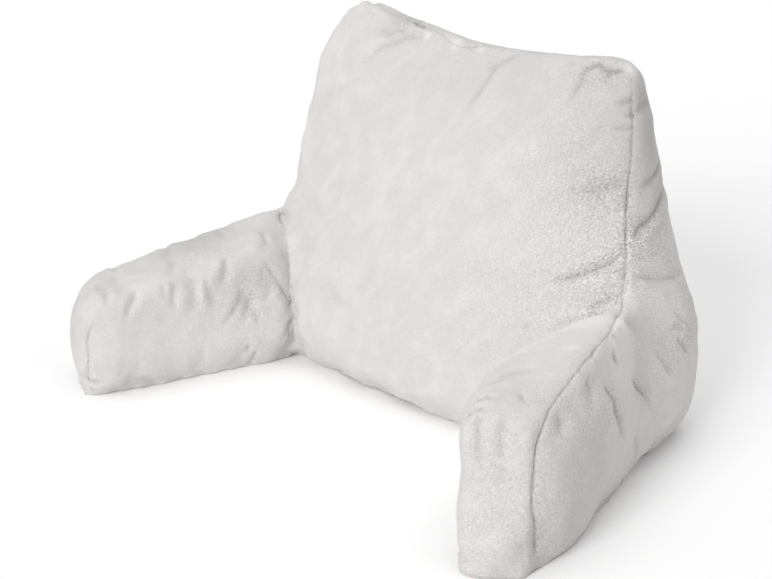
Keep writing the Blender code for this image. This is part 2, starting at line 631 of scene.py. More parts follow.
@dataclass
class SurfaceLine:
    """A line that lies on the cover."""

    places: np.ndarray
    normals: np.ndarray
    tangents: np.ndarray = field(init=False)
    lengths: np.ndarray = field(init=False)

    def __post_init__(self) -> None:
        """Work out the line's directions and its length at each point."""
        steps = np.diff(self.places, axis=0)
        self.lengths = np.concatenate([[0.0], np.cumsum(np.linalg.norm(steps, axis=1))])
        along = np.gradient(self.places, axis=0)
        self.tangents = along / np.maximum(np.linalg.norm(along, axis=1, keepdims=True), 1e-9)

    @classmethod
    def through(cls, points: Sequence[Vector], tree: BVHTree) -> "SurfaceLine":
        """Lay a smooth curve through points on or near the cover, and drop it on the cover's faces."""
        found = [tree.find_nearest(point)[:2] for point in smooth_curve(points, LINE_STEP)]
        return cls(np.array([place for place, _ in found]), np.array([normal for _, normal in found]))

    @classmethod
    def on_panel(cls, panel: Panel, points: Iterable[Pair], tree: BVHTree) -> "SurfaceLine":
        """Lay a smooth curve on a panel and drop it on the cover, square on.

        Args:
            panel: The panel that the points are measured on.
            points: Metres across and up.
            tree: The cover's faces.

        Returns:
            The line.
        """
        curve = smooth_curve([Vector((across, up, 0.0)) for across, up in points], LINE_STEP)
        hits = [tree.ray_cast(*panel.ray(point.x, point.y))[:2] for point in curve]
        hits = [hit for hit in hits if hit[0] is not None]
        return cls(np.array([place for place, _ in hits]), np.array([normal for _, normal in hits]))

    def near(self, cover: CoverMesh, reach: float) -> Nearby:
        """Find the cover's points near the line.

        Args:
            cover: The cover.
            reach: How far from the line to look.

        Returns:
            The points and where they lie.
        """
        low, high = self.places.min(axis=0) - reach, self.places.max(axis=0) + reach
        inside = np.flatnonzero(np.all((cover.places > low) & (cover.places < high), axis=1))
        lookup = KDTree(len(self.places))
        for number, place in enumerate(self.places):
            lookup.insert(place, number)
        lookup.balance()
        found = [lookup.find(place)[1:] for place in cover.places[inside]]
        samples = np.array([number for number, _ in found], int)
        close = np.array([gap for _, gap in found]) < reach
        inside, samples = inside[close], samples[close]
        offsets = cover.places[inside] - self.places[samples]
        ahead = (offsets * self.tangents[samples]).sum(axis=1)
        offsets = offsets - self.tangents[samples] * ahead[:, None]
        sides = np.cross(self.tangents[samples], self.normals[samples])
        aside = np.linalg.norm(offsets, axis=1) * np.sign((offsets * sides).sum(axis=1))
        along = self.lengths[samples] + ahead
        facing = smooth_step((cover.normals[inside] * self.normals[samples]).sum(axis=1) * FACING_SLOPE)
        past = np.maximum(0.0, np.maximum(-along, along - self.lengths[-1]))
        return Nearby(inside, samples, along, aside, offsets, facing, past)

    def waver(self, size_mm: float, seed: float) -> np.ndarray:
        """Give an uneven number from about -1 to 1 for each point, with crests about size_mm apart."""
        # Noise is 0 at every point of its own grid, so it is read half way between two planes of the grid.
        along = self.lengths / (size_mm * MM)
        return np.array([2.0 * noise.noise(Vector((share, seed, 0.5))) for share in along])


# The rear's two side seams are alike in their lower half. This is the right one.
REAR_SIDE_LOW = ((262, 219, 240), (277, 221, 180), (288, 223, 120), (291, 226, 60), (286, 218, 20))

SEAMS = (
    # The seam beside the backrest's front runs on round the right arm: the two lengths fade into each other.
    Seam("front_to_right_side", (
        (233, 166, 462), (234, 157, 450), (237, 150, 430), (249, 138, 380), (256, 127, 335),
        (262, 115, 295),
    ), depth_mm=2.4, rounding_mm=3.5, shade=0.24, fade_in_mm=50.0, fade_out_mm=42.0),
    Seam("right_arm_front_to_side", (
        (256, 127, 335), (262, 115, 295), (268, 107, 260), (274, 99, 230), (276, 93, 212), (278, 87, 200),
        (288, 70, 200), (303, 48, 204), (319, 21, 208), (335, -5, 210), (361, -53, 209), (376, -106, 203),
        (385, -134, 196), (394, -166, 184), (401, -186, 168), (403, -201, 148), (403, -209, 120),
        (403, -212, 90), (403, -208, 66), (402, -201, 42), (398, -193, 15),
    ), rounding_mm=3.5, shade=0.42, fade_in_mm=30.0, fade_out_mm=14.0),
    Seam("front_to_left_side", (
        (-238, 178, 468), (-248, 170, 440), (-264, 155, 385), (-273, 143, 335), (-282, 133, 290),
        (-290, 122, 255), (-296, 112, 225), (-305, 98, 195), (-315, 65, 190), (-342, 10, 178),
        (-371, -75, 158), (-386, -133, 142), (-390, -175, 124),
    ), depth_mm=2.2, pucker_mm=0.7, shade=0.3, fade_in_mm=40.0, fade_out_mm=60.0),
    Seam("left_arm_end", (
        (-336, -217, 21), (-333, -218, 39), (-334, -217, 60), (-332, -218, 78), (-322, -219, 96),
        (-316, -213, 106),
    ), depth_mm=1.8, width_mm=2.0, pucker_mm=0.6, shade=0.35, fade_in_mm=10.0, fade_out_mm=30.0),
    Seam("front_to_top", (
        (233, 166, 462), (205, 178, 462), (150, 180, 460), (100, 178, 457), (45, 165, 452), (0, 147, 446),
        (-30, 143, 445), (-60, 149, 453), (-100, 151, 460), (-135, 154, 468), (-175, 160, 474),
        (-210, 170, 474), (-238, 178, 468),
    ), depth_mm=2.2, width_mm=3.2, pucker_mm=1.0, shade=0.12, fade_in_mm=45.0, fade_out_mm=50.0),
    # Where the arms leave the backrest, its front bulges over the crease.
    Seam("left_arm_to_front", (
        (-220, 52, 10), (-221, 47, 45), (-224, 44, 75), (-228, 42, 102), (-234, 45, 128), (-243, 51, 152),
        (-262, 64, 172), (-282, 79, 190),
    ), depth_mm=4.2, width_mm=3.0, pucker_mm=0.3, shade=0.1, lean=1.0),
    Seam("right_arm_to_front", (
        (213, 48, 15), (213, 42, 50), (215, 40, 90), (222, 40, 130), (232, 46, 165), (250, 56, 190),
        (266, 66, 199), (279, 80, 208),
    ), depth_mm=4.2, width_mm=3.0, pucker_mm=0.5, shade=0.3, lean=-0.8, fade_out_mm=75.0),
    # The rear panel is sewn to the sides and to the strip along the top.
    *(Seam(name, points, depth_mm=2.4, width_mm=3.2, shade=0.3, finest=False) for name, points in (
        ("rear_to_top", (
            (222, 190, 452), (190, 191, 450), (150, 189, 446), (100, 189, 438), (50, 190, 434),
            (0, 193, 430), (-50, 201, 433), (-100, 204, 440), (-150, 199, 452), (-190, 191, 462),
            (-222, 187, 460), (-236, 190, 450),
        )),
        ("rear_to_right_side", (
            (222, 190, 452), (228, 200, 420), (240, 208, 360), (251, 215, 300), *REAR_SIDE_LOW,
        )),
        ("rear_to_left_side", (
            (-236, 190, 450), (-244, 198, 420), (-251, 208, 360), (-256, 215, 300),
            *((-x, y, z) for x, y, z in REAR_SIDE_LOW),
        )),
    )),
)

# The rows say where a fold runs, its depth_mm and width_mm and, where they differ, its lean, start and end.
FOLDS = (
    # The front of the backrest: long soft folds that hang from the top seam, and a few marks between them.
    *folds_on(
        Panel.BACK_FRONT,
        (((-108, 452), (-138, 446), (-164, 440), (-195, 432)), 2.6, 7.0, 0.3, 0.1, 0.6),
        (((-64, 455), (-85, 449), (-105, 444), (-124, 436), (-144, 427), (-163, 411),
          (-188, 399)), 2.6, 6.0, 0.4, 0.35, 0.4),
        (((-168, 466), (-192, 464)), 2.0, 5.0),
        (((-118, 459), (-143, 459)), 2.0, 4.5),
    ),
    *folds_on(
        Panel.TOP,
        (((-110, 156), (-98, 150), (-82, 148)), 4.5, 3.6, 0.0, 0.2, 0.3),
    ),
    *folds_on(
        Panel.BACK_FRONT,
        (((72, 449), (57, 441), (45, 431), (38, 412), (31, 396), (27, 383),
          (26, 368)), 2.8, 6.5, -0.4, 0.1, 0.35),
        (((52, 436), (43, 428), (32, 419)), 2.0, 4.0),
        (((152, 451), (141, 443)), 2.2, 4.0),
        (((126, 432), (117, 415)), 1.0, 8.0),
        (((-185, 373), (-245, 350)), 1.2, 8.0),
        (((-158, 127), (-121, 112), (-105, 103)), 1.2, 6.0),
        (((-97, 88), (-80, 79)), 1.0, 5.0),
        (((170, 152), (177, 147)), 1.5, 6.0),
        # The right top corner stands up like an ear, with a valley under it, and the seam is puckered below.
        (((165, 438), (176, 444), (182, 449), (191, 450), (201, 447), (213, 447),
          (229, 451)), 4.2, 5.0, 0.2, 0.1, 0.2),
        (((206, 446), (202, 437), (199, 428)), 2.0, 5.0, 0.0, 0.1, 0.6),
        (((168, 440), (168, 431), (165, 419), (161, 410), (157, 398)), 3.4, 7.0, 0.2, 0.05, 0.6),
        (((238, 415), (230, 413), (218, 411)), 2.6, 4.0, 0.2, 0.1, 0.5),
        (((243, 400), (231, 400)), 2.5, 3.5, 0.2, 0.1, 0.5),
        (((246, 386), (217, 383)), 2.5, 3.8, -0.2, 0.1, 0.5),
        (((252, 326), (238, 322), (212, 313), (180, 303)), 2.4, 9.0, 0.0, 0.1, 0.6),
        (((267, 250), (255, 236), (232, 223), (200, 211), (180, 205)), 3.4, 5.0, 0.5, 0.15, 0.4),
        (((276, 202), (267, 198), (256, 191), (247, 184), (241, 176)), 2.5, 3.4, 0.3, 0.25, 0.5),
        (((281, 191), (264, 185), (251, 180), (239, 174), (224, 165), (209, 155), (195, 146), (181, 135),
          (160, 118)), 1.7, 2.6, 0.0, 0.1, 0.5),
    ),
    # The right side of the backrest.
    *folds_on(
        Panel.RIGHT_SIDE,
        (((114, 264), (135, 275), (155, 283), (171, 290), (189, 302),
          (196, 318)), 4.6, 6.5, 0.6, 0.15, 0.25),
        (((136, 314), (150, 320), (163, 325), (177, 330), (190, 336)), 3.4, 7.5, 0.3, 0.4, 0.2),
        (((98, 229), (119, 220), (166, 208), (208, 202)), 3.0, 6.0, 0.5, 0.3, 0.3),
        (((142, 402), (155, 406), (167, 409), (180, 413)), 3.0, 8.0, 0.3, 0.5, 0.1),
        (((152, 173), (180, 155), (200, 133)), 1.8, 6.0, 0.3),
        (((150, 157), (178, 150)), 2.0, 5.0, 0.3),
        (((153, 142), (181, 119)), 1.5, 6.0),
        (((113, 129), (132, 105)), 1.6, 6.0),
    ),
    # The rear and the left side, which hang straighter.
    *folds_on(
        Panel.BACK_REAR,
        (((205, 430), (182, 405), (167, 372)), 2.4, 8.0, 0.3, 0.2, 0.5),
        (((-215, 435), (-188, 415), (-165, 380)), 2.4, 9.0, -0.3, 0.2, 0.5),
        (((70, 420), (60, 400), (63, 370)), 1.8, 8.0, 0.0, 0.2, 0.5),
        (((-60, 420), (-78, 392)), 1.6, 8.0, 0.0, 0.2, 0.5),
        (((270, 55), (235, 72), (195, 68)), 1.8, 9.0),
        (((-270, 75), (-230, 82), (-185, 66)), 1.8, 9.0),
    ),
    *folds_on(
        Panel.LEFT_SIDE,
        (((155, 330), (178, 342), (200, 345)), 2.2, 7.0, 0.3),
        (((135, 245), (165, 240), (198, 248)), 2.2, 7.0, 0.3),
    ),
    *folds_on(
        Panel.LEFT_ARM_OUTER,
        (((95, 145), (66, 120), (40, 104), (18, 88)), 2.4, 7.0, 0.3),
        (((165, 140), (152, 115), (146, 90)), 2.2, 7.0, 0.3),
    ),
    # The outer side of the right arm, where the cloth is drawn round the bend of the seam.
    *folds_on(
        Panel.RIGHT_ARM_OUTER,
        (((55, 201), (35, 194), (-5, 176)), 1.8, 5.5, 0.0, 0.1, 0.6),
        (((122, 207), (85, 195), (52, 181)), 1.2, 6.0, 0.0, 0.1, 0.6),
        (((112, 190), (106, 182), (99, 170)), 3.6, 4.0, 0.3),
        (((155, 170), (140, 146), (136, 128), (122, 103), (108, 88)), 5.0, 6.5, 0.4, 0.2, 0.35),
        (((92, 155), (68, 137), (48, 122), (30, 109), (13, 97), (-3, 81),
          (-10, 64)), 3.8, 6.5, 0.4, 0.3, 0.5),
        (((-24, 145), (-35, 130), (-45, 115), (-55, 96)), 1.6, 4.5, 0.3),
        (((-62, 154), (-78, 154), (-90, 152), (-102, 145)), 2.0, 3.6, -0.6),
        (((-68, 146), (-84, 136), (-95, 126), (-105, 110)), 1.6, 4.5, 0.3),
        (((192, 184), (180, 165)), 2.4, 8.0, 0.0, 0.2, 0.5),
        (((246, 170), (252, 156), (257, 140)), 3.0, 10.0, 0.0, 0.3, 0.6),
        (((72, 80), (51, 61), (35, 43), (29, 22), (22, 3)), 2.6, 9.0, 0.2, 0.3, 0.1),
    ),
    # The end of the right arm and its top: soft folds, with lumps between them along the inner edge.
    *folds_on(
        Panel.RIGHT_ARM_END,
        (((0, 182), (0, 160), (1, 136), (3, 108)), 3.2, 8.0, 0.0, 0.3, 0.5),
        (((25, 180), (26, 160), (26, 140), (28, 122)), 2.4, 8.0),
        (((31, 129), (22, 112), (16, 100)), 1.6, 8.0),
        (((15, 127), (31, 116)), 1.4, 3.5),
    ),
    *folds_on(
        Panel.TOP,
        (((329, -222), (336, -213), (346, -206)), 3.8, 4.0, 0.0, 0.2, 0.3),
        (((328, -238), (337, -232), (347, -225)), 3.6, 4.5, 0.0, 0.2, 0.3),
        (((318, -195), (327, -169), (337, -150), (352, -134)), 1.8, 6.0, 0.3, 0.2, 0.4),
        (((358, -184), (369, -196)), 2.0, 5.0),
        (((330, -104), (338, -90), (346, -75), (355, -56)), -1.8, 4.0, 0.0, 0.3, 0.3),
        (((290, -60), (318, -20), (330, -5)), 1.2, 5.0, 0.3),
    ),
    # The inner side of the left arm: soft uneven upright creases, closer together towards the backrest.
    *folds_on(
        Panel.LEFT_ARM_INNER,
        (((253, 138), (258, 129), (260, 118)), 2.2, 4.5, -0.3, 0.2, 0.3),
        (((219, 139), (226, 129), (234, 115), (240, 98)), 2.4, 5.5, 0.3, 0.2, 0.5),
        (((238, 149), (235, 145), (231, 141)), 1.4, 5.0, 0.0, 0.2, 0.4),
        (((184, 143), (186, 132), (187, 118)), 1.3, 4.0, 0.3, 0.2, 0.4),
        (((148, 158), (161, 154), (177, 148)), 2.0, 6.5, 0.3, 0.2, 0.4),
        (((168, 142), (174, 128), (173, 104)), 2.0, 5.5, 0.0, 0.2, 0.4),
        (((140, 146), (145, 128), (151, 102), (156, 84)), 1.8, 7.5, 0.0, 0.2, 0.5),
        (((126, 143), (126, 128), (123, 112), (116, 94)), 1.6, 5.5, 0.3, 0.2, 0.4),
        (((95, 161), (98, 148), (103, 134), (110, 121)), 2.4, 6.5, 0.2, 0.15, 0.4),
        (((74, 120), (83, 103), (90, 90), (100, 78), (112, 67)), 2.4, 6.0, 0.5, 0.2, 0.5),
        (((73, 110), (70, 92), (80, 74)), 2.2, 7.0, 0.2, 0.2, 0.4),
        (((50, 142), (43, 126), (40, 110), (48, 92)), 2.4, 6.5, -0.3, 0.2, 0.4),
        (((28, 179), (31, 173), (34, 163)), 2.2, 6.0, 0.0, 0.2, 0.4),
        (((43, 150), (33, 130), (21, 110), (12, 92), (6, 74)), 3.2, 6.0, 0.5, 0.2, 0.6),
        (((65, 84), (58, 77), (52, 64)), 1.6, 5.0, 0.0, 0.2, 0.3),
        (((7, 63), (17, 47), (26, 32)), 1.8, 3.8),
        (((12, 64), (11, 42), (18, 20)), 1.3, 3.8),
        (((73, 36), (67, 23)), 2.6, 4.0),
        (((57, 27), (60, 10), (62, 0)), 2.4, 4.5),
        (((224, 21), (203, 9), (188, 2)), 1.8, 6.0),
    ),
    # Its top, where three of them run over, and its root and its end.
    *folds_on(
        Panel.TOP,
        (((-382, -132), (-368, -140), (-354, -149)), 2.4, 5.5, 0.0, 0.2, 0.4),
        (((-366, -58), (-350, -68), (-335, -78), (-318, -90)), 1.9, 5.5, 0.0, 0.1, 0.5),
        (((-330, 2), (-318, -4), (-306, -10), (-292, -18)), 2.2, 6.0, 0.0, 0.1, 0.5),
        (((-292, 84), (-285, 77), (-272, 68)), 3.4, 5.0, 0.0, 0.2, 0.4),
    ),
    *folds_on(
        Panel.LEFT_ARM_END,
        (((14, 28), (2, 25), (-6, 21), (-19, 20)), 3.2, 3.4, 0.3),
        (((-8, 16), (-6, 3)), 1.6, 3.0),
    ),
)

# The rows of the patches say where the middle is, the radius_mm and, here, the height in millimetres.
SWELLINGS = patches(
    # The backrest: its two top corners, its crest, its side edges and its lower edges.
    ((-247, 145, 388), 34.0, 4.0), ((-238, 150, 453), 34.0, -8.0), ((-205, 158, 468), 24.0, 4.0),
    ((-165, 168, 470), 24.0, 4.0), ((-187, 166, 471), 12.0, 4.5), ((-100, 175, 462), 50.0, 6.0),
    ((222, 165, 458), 24.0, 3.0), ((243, 180, 422), 26.0, -5.5), ((-282, 120, 230), 31.0, -11.0),
    ((-270, 106, 262), 22.0, 3.0), ((252, 172, 370), 60.0, 4.0), ((295, 197, 155), 45.0, 4.5),
    ((326, 178, 68), 48.0, -9.0), ((308, 204, 44), 32.0, -6.0), ((328, 140, 30), 35.0, -4.0),
    ((-150, 37, 10), 50.0, -6.0), ((-50, 22, 10), 70.0, -5.0), ((70, 34, 6), 34.0, 6.0),
    ((7, 23, 12), 26.0, -3.0), ((165, 30, 8), 40.0, 3.0),
    # The left arm: the top of its end, and its root.
    ((-388, -160, 138), 30.0, 5.5), ((-385, -200, 15), 26.0, -5.0), ((-352, -222, 3), 20.0, -6.0),
    ((-340, -20, 170), 60.0, -2.0), ((-290, 82, 192), 26.0, 6.0), ((-296, 58, 185), 22.0, 5.0),
    ((-238, 30, 40), 20.0, 6.0), ((-252, 22, 4), 18.0, 6.0), ((-238, 28, 80), 24.0, 3.5),
    # The right arm: its inner shoulder and front edge, the foot of its end, and the outer foot of its root.
    ((315, -229, 182), 26.0, -10.0), ((317, -208, 194), 30.0, -4.0), ((320, -240, 125), 50.0, -8.0),
    ((340, -245, 10), 26.0, 9.0), ((338, -253, 22), 16.0, 3.0), ((338, -256, 0), 11.0, -5.0),
    ((300, 92, 188), 25.0, 5.0), ((310, 88, 150), 28.0, 6.0), ((335, 62, 85), 26.0, 4.0),
    ((330, 70, 40), 24.0, 5.0), ((360, -30, 18), 30.0, -6.0), ((374, -122, 4), 32.0, 5.0),
    ((396, -196, 4), 28.0, -7.5),
)

# How many times the cloth is evened out: where the side runs on into the right arm, and at the corners.
EASED_PATCHES = patches(
    ((312, 78, 170), 44.0, 60), ((333, 72, 80), 52.0, 90), ((306, 192, 50), 42.0, 60),
    ((-205, 160, 476), 22.0, 14), ((372, -100, 10), 60.0, 12),
)

# How ruffled the pile is: the backrest's right part and the right arm are, the left ones are brushed smooth.
RUFFLED_PATCHES = patches(
    ((262, 90, 205), 80.0, 0.50), ((302, 160, 170), 66.0, 1.1), ((290, 150, 240), 45.0, 0.5),
    ((210, 112, 330), 75.0, 0.52), ((200, 160, 440), 40.0, 0.32), ((270, 205, 385), 55.0, -0.8),
    ((355, -165, 45), 105.0, 0.44), ((390, -90, 170), 60.0, 0.4), ((340, 40, 150), 52.0, 0.55),
    ((310, 78, 182), 30.0, 0.5), ((140, 60, 180), 80.0, 0.20), ((-290, -50, 60), 90.0, 0.35),
    ((-268, -15, 100), 48.0, 0.28), ((-110, 170, 465), 30.0, 0.3), ((0, 165, 455), 30.0, 0.3),
)

# How much lighter the pile looks, from -1 to 1, partly from the way it lies and partly as painted light and
# shade: darker up by the seam of the top and beside the right seam, lighter on the arms.
NAP_AND_PAINTED_LIGHT_PATCHES = patches(
    ((-50, 150, 430), 100.0, -0.25), ((90, 150, 430), 80.0, -0.28), ((-120, 172, 468), 32.0, -0.6),
    ((200, 140, 400), 90.0, -0.22), ((230, 120, 310), 65.0, -0.34), ((258, 190, 400), 66.0, -1.15),
    ((275, 180, 320), 45.0, -0.35), ((304, 145, 188), 54.0, 1.0), ((320, 100, 140), 50.0, 0.25),
    ((325, 20, 190), 42.0, 0.9), ((310, 78, 182), 32.0, 0.7), ((330, -100, 210), 80.0, 0.65),
    ((285, 10, 205), 50.0, 0.6), ((400, -120, 110), 75.0, -0.40), ((400, -195, 30), 45.0, -0.42),
    ((-300, -60, 60), 100.0, 1.0), ((-250, 30, 100), 60.0, 0.10), ((-262, -10, 115), 35.0, -0.30),
    ((-340, -40, 180), 60.0, -0.92), ((-385, -175, 80), 50.0, -0.90),
    # Small pale streaks of painted light along the top seam, where the pile stands up.
    ((-75, 142, 450), 5.0, 1.2), ((-30, 143, 446), 7.0, 1.0), ((12, 145, 447), 7.0, 1.0),
    ((228, 160, 452), 9.0, 1.2),
)


@dataclass
class PlushCover:
    """The whole stuffed cover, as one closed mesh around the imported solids.

    The solids are grown by the overlap while they are joined, drawn in and then blown up by the simulation,
    in which spare_cloth and gathered_seam are shares by which the cloth is larger, and smaller at the seams.
    """

    name: str = "plush_cover"
    nodes: tuple[str, ...] = ("backrest", "arm_left", "arm_right")
    fill: float = 0.75
    voxel: float = 9.5 * MM
    overlap: float = 1.2 * MM
    # Whatever lies lower than this is flat on the ground, and is closed there by faces that are flat to
    # within flat_deg.
    flat_below: float = 2.0 * MM
    flat_deg: float = 1.0
    drawn_in: float = 5.0 * MM
    pressure: float = 4.0
    frames: int = 20
    bending_stiffness: float = 0.2
    spare_cloth: float = 0.03
    gathered_seam: float = 0.04
    # The cloth is gathered within this many voxels of a seam.
    gathered_beside: float = 1.2
    most_swelling: float = 14.0 * MM
    # Evening the swelling so many times leaves the broad part of it, of which this share is kept.
    broad_rounds: int = 60
    broad_swelling_kept: float = 0.12
    bend_rounds: int = 8
    pile_height: float = 1.5 * MM
    # The stuffing's unevenness: the size of a lump and its height.
    lumps_mm: tuple[Pair, ...] = ((90.0, 3.0), (38.0, 1.4), (17.0, 0.5))
    splittings: tuple[Splitting, ...] = (
        Splitting(beside_mm=8.0, beside_fold=1.8, least_mm=0.0, finest=False),
        Splitting(beside_mm=2.5, beside_fold=0.5, least_mm=2.7, finest=True),
    )
    stitching: Stitching = Stitching()
    creasing: Creasing = Creasing()
    # Pile that is brushed smooth takes this share of the ruffling that a seam or a fold gives.
    least_ruffling: float = 0.15
    cover: bpy.types.Object = field(init=False)
    shade: np.ndarray = field(init=False)
    ruffled: np.ndarray = field(init=False)

    def build(self, finish: BrushedPlush) -> bpy.types.Object:
        """Build the cover and dress it.

        Args:
            finish: The plush that it is sewn from.

        Returns:
            The finished object, riding on the frame.
        """
        self.join_core()
        self.stuff()
        self.subdivide()
        self.shape()
        for splitting in self.splittings:
            self.refine(splitting)
        self.sew()
        self.fold()
        self.seat()
        self.ruffle()
        cover = self.cover
        cover.data.materials.clear()
        cover.data.materials.append(finish.material())
        cover.data.shade_smooth()
        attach(cover, "root")
        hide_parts(*self.nodes)
        return cover

    def join_core(self) -> None:
        """Join the frame's solids into one closed mesh of even faces."""
        parts = bmesh.new()
        for node in self.nodes:
            one = bmesh.new()
            one.from_mesh(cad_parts[node].data)
            bmesh.ops.remove_doubles(one, verts=one.verts, dist=HAIR)
            for vertex in one.verts:
                vertex.co += vertex.normal * self.overlap
            grown = bpy.data.meshes.new("grown")
            one.to_mesh(grown)
            one.free()
            parts.from_mesh(grown)
            bpy.data.meshes.remove(grown)
        mesh = bpy.data.meshes.new(self.name)
        parts.to_mesh(mesh)
        parts.free()
        self.cover = bpy.data.objects.new(self.name, mesh)
        bpy.context.scene.collection.objects.link(self.cover)
        remesh = self.cover.modifiers.new("even_faces", "REMESH")
        remesh.mode = "VOXEL"
        remesh.voxel_size = self.voxel
        self.apply()
        core = CoverMesh(self.cover.data)
        core.places[:, 2] = np.maximum(core.places[:, 2], 0.0)
        core.write()
        core.push(np.full(len(core.places), -self.overlap))
        core.places[core.places[:, 2] < self.flat_below, 2] = 0.0
        core.write()
        log.info("core: %d points", len(core.places))

    def apply(self) -> None:
        """Replace the cover's mesh by what its modifiers make of it."""
        graph = bpy.context.evaluated_depsgraph_get()
        made = bpy.data.meshes.new_from_object(self.cover.evaluated_get(graph), depsgraph=graph)
        self.cover.modifiers.clear()
        self.cover.data = made

    def stuff(self) -> None:
        """Blow the cover up with a short cloth simulation, and keep its wrinkles.

        The cloth is a little larger than the core, but gathered at the seams, so that it wrinkles as it
        fills. Its broad swelling is mostly taken out again, because the frame's own crown is the true one.
        """
        core = CoverMesh(self.cover.data)
        start, outward = core.places.copy(), core.normals.copy()
        tree = core.tree()
        base = start[:, 2] < self.flat_below
        held = self.cover.vertex_groups.new(name="base")
        held.add([int(point) for point in np.flatnonzero(base)], 1.0, "REPLACE")
        gathered = self.cover.vertex_groups.new(name="seams")
        for seam in SEAMS:
            near = seam.line(tree).near(core, self.gathered_beside * self.voxel)
            gathered.add([int(point) for point in near.points], 1.0, "REPLACE")
        core.push(np.where(base, 0.0, -self.drawn_in))
        cloth = self.cover.modifiers.new("stuffing", "CLOTH")
        settings = cloth.settings
        settings.use_pressure = True
        settings.uniform_pressure_force = self.pressure
        settings.vertex_group_mass = held.name
        settings.vertex_group_shrink = gathered.name
        settings.shrink_min = -self.spare_cloth
        settings.shrink_max = self.gathered_seam
        settings.effector_weights.gravity = 0.0
        settings.bending_stiffness = self.bending_stiffness
        cloth.collision_settings.use_collision = False
        cloth.collision_settings.use_self_collision = False
        scene = bpy.context.scene
        for number in range(1, self.frames + 1):
            scene.frame_set(number)
        self.apply()
        scene.frame_set(1)
        self.cover.vertex_groups.clear()
        filled = CoverMesh(self.cover.data)
        moved = filled.places - start
        length = np.linalg.norm(moved, axis=1, keepdims=True)
        moved *= np.minimum(1.0, self.most_swelling / np.maximum(length, 1e-9))
        swelling = (moved * outward).sum(axis=1)
        broad = filled.evened(swelling, self.broad_rounds)
        wrinkles = swelling - broad
        # The part of them that only rounds the body's own edges off is taken out.
        bend = ((start - filled.evened(start, self.bend_rounds)) * outward).sum(axis=1)
        wrinkles -= bend * (wrinkles @ bend) / (bend @ bend)
        filled.places = start + outward * (self.broad_swelling_kept * broad + wrinkles)[:, None]
        filled.write()
        high_mm = np.abs(wrinkles) / MM
        log.info("stuffed: wrinkles of %.2f mm on average, %.1f mm at most", high_mm.mean(), high_mm.max())

    def subdivide(self) -> None:
        """Smooth the faces once."""
        finer = self.cover.modifiers.new("finer", "SUBSURF")
        finer.levels = 1
        finer.render_levels = 1
        self.apply()

    def shape(self) -> None:
        """Make the stuffing stand out or lie hollow in places, and leave it a little uneven all over."""
        body = CoverMesh(self.cover.data)
        amounts = np.full(len(body.places), self.pile_height)
        for swelling in SWELLINGS:
            amounts += swelling.amount * MM * body.share_of(swelling)
        for size_mm, height_mm in self.lumps_mm:
            scale = 1.0 / (size_mm * MM)
            lumps = np.array([noise.noise(Vector(place) * scale) for place in body.places])
            amounts += height_mm * MM * lumps
        body.push(amounts)
        for patch in EASED_PATCHES:
            share = body.share_of(patch, power=4)[:, None]
            body.places += share * (body.evened(body.places, patch.amount) - body.places)
            body.write()

    def refine(self, splitting: Splitting) -> None:
        """Split the faces near the seams and the folds once more.

        Args:
            splitting: Which of them to split.
        """
        body = CoverMesh(self.cover.data)
        tree = body.tree()
        reaches = [(seam, splitting.beside_mm) for seam in SEAMS if seam.finest or not splitting.finest]
        for fold in FOLDS:
            if abs(fold.depth_mm) >= splitting.least_mm:
                reaches.append((fold, max(splitting.beside_fold * fold.width_mm, splitting.beside_mm)))
        chosen = set()
        for crease, reach_mm in reaches:
            chosen.update(crease.line(tree).near(body, reach_mm * MM).points.tolist())
        finer = bmesh.new()
        finer.from_mesh(self.cover.data)
        finer.verts.ensure_lookup_table()
        edges = {edge for point in chosen for edge in finer.verts[point].link_edges}
        edges = [edge for edge in edges if edge.verts[0].index in chosen and edge.verts[1].index in chosen]
        bmesh.ops.subdivide_edges(finer, edges=edges, cuts=1, use_grid_fill=True)
        finer.to_mesh(self.cover.data)
        finer.free()

    def sew(self) -> None:
        """Pull the seams in, pucker the cloth beside them and paint shade along the stitching."""
        body = CoverMesh(self.cover.data)
        tree = body.tree()
        lines = [seam.line(tree) for seam in SEAMS]
        all_seams = self.stitching
        amounts, self.shade, self.ruffled = np.zeros((3, len(body.places)))
        for number, (seam, line) in enumerate(zip(SEAMS, lines)):
            log.info("seam %s: %.0f mm long", seam.name, line.lengths[-1] / MM)
            near = line.near(body, all_seams.reach_mm * MM)
            away = np.abs(near.aside)
            on_line = away < all_seams.drawn_in_mm * MM
            body.places[near.points[on_line]] -= near.offsets[on_line]
            fade = near.facing * bell(near.past, all_seams.past_end_mm * MM)
            fade *= smooth_step(near.along / (seam.fade_in_mm * MM))
            fade *= smooth_step((line.lengths[-1] - near.along) / (seam.fade_out_mm * MM))
            uneven = all_seams.uneven * line.waver(all_seams.uneven_mm, number + Pattern.SEAM_DEPTH)
            depth = seam.depth_mm * MM * (1.0 + uneven)[near.samples]
            width = seam.width_mm * MM
            groove = all_seams.narrow_share * bell(away, width)
            groove += all_seams.wide_share * bell(away, all_seams.wide * width)
            roll = all_seams.roll_high * bell(away - all_seams.roll_off * width, all_seams.roll_wide * width)
            roll *= 1.0 + seam.lean * np.sign(near.aside)
            amounts[near.points] += fade * depth * (roll - groove)
            amounts[near.points] -= fade * seam.rounding_mm * MM * bell(away, all_seams.rounding_mm * MM)
            amounts[near.points] += fade * self.puckers(seam, line, near, number)
            # Painted shade along the groove, broken into short dark marks.
            uneven = all_seams.shade_dash_uneven * line.waver(all_seams.shade_dash_mm, number + Pattern.STITCHES)
            shade_dashes = (1.0 - all_seams.shade_dash_uneven + uneven)[near.samples]
            dark = seam.shade * shade_dashes * fade * bell(away, all_seams.dark_mm * MM)
            self.shade[near.points] = np.maximum(self.shade[near.points], dark)
            self.ruffled[near.points] += all_seams.ruffled * fade * bell(away, all_seams.ruffled_mm * MM)
        body.push(amounts)

